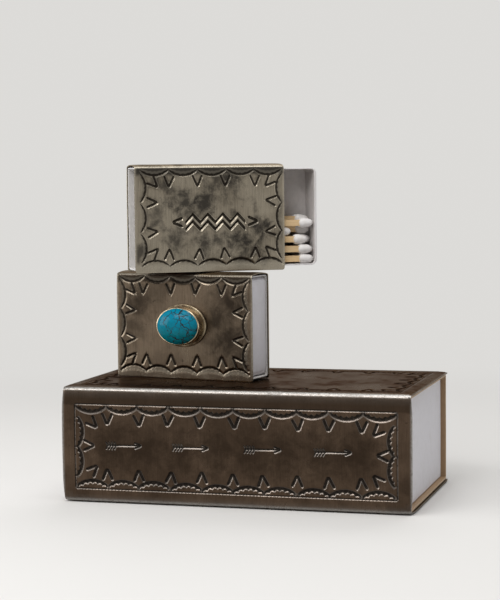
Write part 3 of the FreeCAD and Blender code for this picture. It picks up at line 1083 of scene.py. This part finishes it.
x, y, z = bundle.split(position)["X", "Y", "Z"]
full = (x / head_length).step(0.45, 1.0, 1.0, 1.45)
ball = bundle.set_place(ball, position=bundle.xyz(x, y * full, z * full))
roll, lean = bundle.random(-0.05, 0.05, seed), bundle.random(-0.004, 0.004, seed + 5)
placed = bundle.real(bundle.add(
    "GeometryNodeInstanceOnPoints", points=given["Geometry"],
    instance=bundle.choose(given["Heads"], stick, ball), rotation=bundle.xyz(roll, 0, given["Turn"] + lean),
))
rough = bundle.noise(position, 0.55, 2.0, seed=seed * 1.7)["Color"]
rough = bundle.vectors("MULTIPLY", bundle.vectors("SUBTRACT", rough, (0.5, 0.5, 0.5)), (0.0, 0.32, 0.32))
bundle.give(geometry=bundle.dressed(bundle.set_place(placed, offset=rough), given["Material"]))

match_wood, tree = new_material("match_wood", roughness=0.62)
flat = tree.mask("grain", "Vector")
grain = tree.noise(tree.stretched(flat, (0.09, 2.6, 2.6)), 1.0, 5.0, 0.6, 2.0, 0.5)
fleck = tree.noise(tree.stretched(flat, (0.5, 7, 7)), 1.0, 2.0, 0.5, 6.0)
tone = tree.noise(tree.stretched(flat, (0.004, 0.28, 0.28)), 1.0, 0.0, 0.5, 3.0)
tree.paint(
    (0.66, 0.46, 0.24),
    (grain.step(0.3, 0.7), (0.5, 0.32, 0.15)),
    (tone.step(0.35, 0.65, 0.0, 0.4), (0.72, 0.55, 0.33)),
    (fleck.step(0.62, 0.75, 0.0, 0.4), (0.3, 0.17, 0.07)),
)
tree.bump(fleck * 0.4 + grain, 0.35, 0.0001)

match_paste, tree = new_material("match_paste", roughness=0.6)
age = tree.use(aged, vector=tree.object_place(), scale=190.0, seed=7.0)
tree.paint(
    (0.76, 0.74, 0.73), (age["Cloud"], (0.66, 0.63, 0.61)), (age["Blotch"] * 0.25, (0.55, 0.49, 0.43))
)
tree.bump(age["Grit"], 0.3, 0.00015)
match_gap, coat = 0.1, 0.6


def match_nodes(holder, part):
    return sorted(name for name in frame["nodes"] if name.startswith(holder.name + "_match_" + part))


def match_pair(holder, tips, length, head, turn, seed, segments, rings):
    """Sticks and heads of one tray's matches, each group a piece that rides on the tray."""
    values = dict(
        length=length, side=head[1] - 2 * coat, head_length=head[0], head_width=head[1], turn=turn,
        seed=seed, segments=segments, rings=rings,
    )
    for part, slot, material in (("stick", "match_wood", match_wood), ("head", "match_head", match_paste)):
        made = grown(meshed("tips", tips, []), bundle, heads=part == "head", material=material, **values)
        drawing = read_points(made)
        grain = drawing[:, [1, 0, 2]] if turn else drawing
        new_piece(
            holder, holder.name + "_loose_" + part + "s", "tray", match_nodes(holder, part), drawing,
            [tuple(polygon.vertices) for polygon in made.polygons], material, {"grain": grain}, sharp=50,
        )


spans = [top.span(name) for name in match_nodes(top, "head")]
tips = [(low[0], (low[1] + high[1]) / 2, (low[2] + high[2]) / 2) for low, high in spans]
pocket_head = (spans[0][1] - spans[0][0])[:2]
pocket_length = top.span(match_nodes(top, "stick")[0])[1][0] - spans[0][0][0]
match_pair(top, tips, pocket_length, pocket_head, turn=0.0, seed=4, segments=14, rings=10)

draw = np.random.default_rng(5)
low, high = middle.span("middle_match_heads")
wide = pocket_head[1]
loose, pitch = high[0] - low[0] - pocket_head[0], wide + match_gap
tips = [
    (low[0] + loose * draw.uniform(), high[1] - wide / 2 - line * pitch, low[2] + wide / 2 + column * pitch)
    for line in range(1 + round((high[1] - low[1] - wide) / pitch))
    for column in range(1 + round((high[2] - low[2] - wide) / pitch))
]
match_pair(middle, tips, pocket_length, pocket_head, turn=0.0, seed=8, segments=10, rings=7)

low, high = large.span("large_match_heads")
layers, long = 3, 6.5
wide = (high[2] - low[2] - (layers - 1) * match_gap) / layers
loose, pitch = high[1] - low[1] - long, wide + match_gap
kitchen_length = large.span("large_match_sticks")[1][1] - low[1] - loose
tips = [
    (low[0] + wide / 2 + column * pitch, low[1] + loose * draw.uniform(), low[2] + wide / 2 + layer * pitch)
    for layer in range(layers)
    for column in range(1 + round((high[0] - low[0] - wide) / pitch))
]
match_pair(large, tips, kitchen_length, (long, wide), turn=math.pi / 2, seed=12, segments=8, rings=6)

# Setting
# An oval plate soldered to the middle holder's front wall, and a thin collar soldered to it. The collar's
# upper edge is pushed in over the stone with a burnisher, so it is a little wavy and its rim is bright.
low, high = middle.span("bezel_plate")
setting_x, setting_y = (low[:2] + high[:2]) / 2
plate_half, plate_low, plate_high = (high[:2] - low[:2]) / 2, low[2], high[2]
low, high = middle.span("bezel_collar")
collar_half, collar_low, lip, collar_wall = (high[:2] - low[:2]) / 2, low[2], high[2], 0.33
stone_low, stone_high = middle.span("turquoise_stone")
stone_half = (stone_high[:2] - stone_low[:2]) / 2
girdle = lip - 0.9  # the dome starts below the collar's rim
dome = stone_high[2] - girdle
oval_points = 96


def oval_ring(half, z, inset=0.0, waver=0.0, seed=0):
    """Points round an oval, drawn in all round, wavering a little in height."""
    turns = np.linspace(0, 2 * math.pi, oval_points, endpoint=False)
    draw = np.random.default_rng(seed)
    wave = sum(np.sin(turns * times + draw.uniform(0, 6)) / times**0.5 for times in (3, 5, 8, 13, 21))
    x, y = (half[0] - inset) * np.cos(turns), (half[1] - inset) * np.sin(turns)
    return np.column_stack([setting_x + x, setting_y + y, z + waver * wave])


bezel_metal, tree = new_material("bezel_silver", metallic=1.0)
age = tree.use(aged, vector=tree.object_place(), scale=220.0, seed=2.0)
cloud, soiled = age["Cloud"], tree.mask("soiled")
tree.paint(
    (0.66, 0.56, 0.4),
    (cloud, (0.42, 0.33, 0.21)),
    (soiled * cloud.step(0.0, 1.0, 0.6, 1.0), (0.045, 0.029, 0.016)),
)
tree.give(roughness=soiled * 0.25 + cloud * 0.1 + 0.18)
tree.bump(age["Grit"], 0.2, 0.0001)

plate_profile = (  # inset, height and soil
    (0.25, plate_low, 1.0),
    (0.05, plate_low + 0.06, 0.95),
    (0.0, plate_low + 0.2, 0.85),
    (0.0, plate_high - 0.35, 0.8),
    (0.1, plate_high - 0.14, 0.75),
    (0.28, plate_high - 0.04, 0.85),
    (0.5, plate_high, 0.95),
    (3.0, plate_high, 1.0),
)
points, faces = loft([oval_ring(plate_half, z, inset) for inset, z, _ in plate_profile])
points = uneven(points, 0.05, 0.5, 3)
points[:, 2] = np.clip(points[:, 2], plate_low, plate_high)
new_piece(
    middle, "bezel_base", "cover", ["bezel_plate"], points, faces, bezel_metal,
    {"soiled": np.repeat([soil for _, _, soil in plate_profile], oval_points)},
)
touch = (collar_half - stone_half * math.sqrt(1 - ((lip - girdle) / dome) ** 2)).mean()
burnished, waver = 0.03, 0.012
collar_profile = (  # inset, height, whether it is burnished, and soil
    (0.0, collar_low, 0, 1.0),
    (0.0, collar_low + 0.3, 0, 0.3),
    (0.03, lip - 0.7, 0, 0.05),
    (0.14, lip - 0.25, 1, 0.0),
    (0.27, lip - 0.06, 1, 0.0),
    (0.42, lip - 0.02, 1, 0.1),
    (touch + 0.02, lip - 0.12, 1, 0.9),
    (collar_wall + 0.05, lip - 0.6, 0, 1.0),
    (collar_wall, collar_low, 0, 1.0),
)
rings = [
    oval_ring(collar_half, z, inset + burnished * wavy, waver * wavy, seed=6)
    for inset, z, wavy, _ in collar_profile
]
points, faces = loft(rings, closed=True)
new_piece(
    middle, "bezel_wall", "cover", ["bezel_collar"], points, faces, bezel_metal,
    {"soiled": np.repeat([level[-1] for level in collar_profile], oval_points)},
)

# Stone
# A turquoise cabochon, ground to an oval dome by hand and polished. Brown-black veins of the mother rock
# run through it, and the blue turns greener towards one side.
turquoise, tree = new_material(
    "turquoise", roughness=0.3, specular_ior_level=0.0, coat_weight=0.18, coat_roughness=0.09, ior=1.55
)
flat = tree.mask("grain", "Vector")
drift, fine = tree.noise(flat, 0.22, 3.0, 0.5, 1.0), tree.noise(flat, 1.4, 5.0, 0.6, 4.0)
across, upward = tree.split(flat)["X", "Y"]
level = tree.vectors("MULTIPLY", flat, (1, 1, 0))
bent = tree.add("ShaderNodeTexNoise", vector=level, scale=0.5, detail=4.0)["Color"]
bent = tree.vectors("ADD", level, tree.vectors("MULTIPLY", bent, (2.4, 2.4, 0)))
webs = []
for scale, thin, shift, most in ((0.2, 0.04, 1.7, 1.0), (0.42, 0.05, 6.2, 0.9)):
    cells = tree.add(
        "ShaderNodeTexVoronoi", vector=tree.vectors("ADD", bent, (shift, shift * 2, 0)), scale=scale,
        feature="DISTANCE_TO_EDGE", voronoi_dimensions="2D",
    )
    gate = across * -0.045 + tree.noise(flat, 0.3, 2.0, 0.5, shift)
    webs.append(cells.step(thin * 0.3, thin, most, 0.0) * gate.step(0.37, 0.48))
veins = webs[0].at_least(webs[1])
tree.paint(
    (0.001, 0.15, 0.235),
    ((drift * 9.0 + upward).step(1.0, 9.0), (0.002, 0.115, 0.135)),
    (fine.step(0.35, 0.7, 0.0, 0.45), (0.003, 0.2, 0.29)),
    (veins, (0.022, 0.013, 0.009)),
)
tree.bump(veins * -1.0 + fine * 0.1, 0.3, 0.00012)

rings = [oval_ring(stone_half, z) for z in (stone_low[2], girdle - 0.6, girdle)]
for rise in np.linspace(0.06, 1.0, 22)[:-1] ** 0.9:
    rings.append(oval_ring(stone_half * math.sqrt(1 - rise**2), girdle + dome * rise))
points, faces = loft(rings)
points = uneven(points, 0.04, 0.3, 8)
points[:, 2] = np.minimum(points[:, 2], stone_high[2])
new_piece(
    middle, "turquoise_cabochon", "cover", ["turquoise_stone"], points, faces, turquoise,
    {"grain": points - (setting_x, setting_y, girdle)}, sharp=60,
)

# Floor, light and camera
# A plain pale floor under soft studio lamps, and the camera where the photograph was taken from.
floor_reach, floor_z = 3.0, -0.0002
backdrop = (0.72, 0.71, 0.69, 1)
corners = [(x * floor_reach, y * floor_reach, floor_z) for x, y in ((-1, -1), (1, -1), (1, 1), (-1, 1))]
floor = set_out("floor", meshed("floor", corners, [(0, 1, 2, 3)]))


def glow(tree):
    """Strength of the backdrop: full where it is seen, less in the light that it gives."""
    path = tree.add("ShaderNodeLightPath")
    seen = path["Is Camera Ray"].at_least(path["Is Glossy Ray"]).at_least(path["Is Transmission Ray"])
    return seen.step(0.0, 1.0, 0.35, 1.0)


floor_paint, tree = new_material("pale_floor", base_color=(0.64, 0.63, 0.615, 1), roughness=0.8)
far = tree.vectors("LENGTH", tree.object_place())["Value"]
lit = tree.add("ShaderNodeEmission", color=backdrop, strength=glow(tree))
faded = {0: far.step(0.17, 0.42), 1: Value(tree, tree.end.outputs), 2: lit}
tree.wire(tree.add("ShaderNodeMixShader", faded), tree.group.nodes["Material Output"].inputs["Surface"])
floor.data.materials.append(floor_paint)

world = bpy.data.worlds.new("studio")
world.use_nodes = True
bpy.context.scene.world = world
air = Finish(world.node_tree, world.node_tree.nodes["Background"])
air.give(color=backdrop, strength=glow(air))
centre = (cad_box[0] + cad_box[1]) / 2
for name, place, width, height, watts in (
    ("key", (-0.18, -0.54, 0.56), 0.66, 0.26, 3.6),
    ("left", (-0.68, -0.19, 0.22), 0.5, 0.36, 2.5),
    ("overhead", (0.1, -0.16, 0.8), 0.62, 0.46, 2.9),
    ("side", (0.72, 0.05, 0.16), 0.5, 0.4, 0.6),
    ("back", (0.05, 0.45, 0.6), 0.6, 0.3, 1.2),
):
    lamp = bpy.data.lights.new(name, "AREA")
    lamp.shape, lamp.size, lamp.size_y, lamp.energy = "RECTANGLE", width, height, watts
    stand = set_out(name, lamp)
    stand.location = place
    stand.rotation_euler = (Vector(centre) - Vector(place)).to_track_quat("-Z", "Y").to_euler()

eye = Vector((171.2, -609.9, 113.7)) * MM
heading, dip, roll = (math.radians(turn) for turn in (15.95, 4.17, -0.6))
photo_width, focal_pixels = 500, 1812.9
ahead = Vector((-math.sin(heading) * math.cos(dip), math.cos(heading) * math.cos(dip), -math.sin(dip)))
level = Vector((math.cos(heading), math.sin(heading), 0))
upright = level.cross(ahead)
right = level * math.cos(roll) + upright * math.sin(roll)
upward = upright * math.cos(roll) - level * math.sin(roll)
camera = bpy.data.cameras.new("camera")
camera.sensor_fit, camera.sensor_width = "HORIZONTAL", 36.0
camera.lens = focal_pixels / photo_width * camera.sensor_width
camera.clip_start, camera.clip_end = 0.01, 20
viewer = set_out("camera", camera)
viewer.matrix_world = Matrix.Translation(eye) @ Matrix((right, upward, -ahead)).transposed().to_4x4()
bpy.context.scene.camera = viewer
bpy.context.scene.view_settings.view_transform = "Standard"
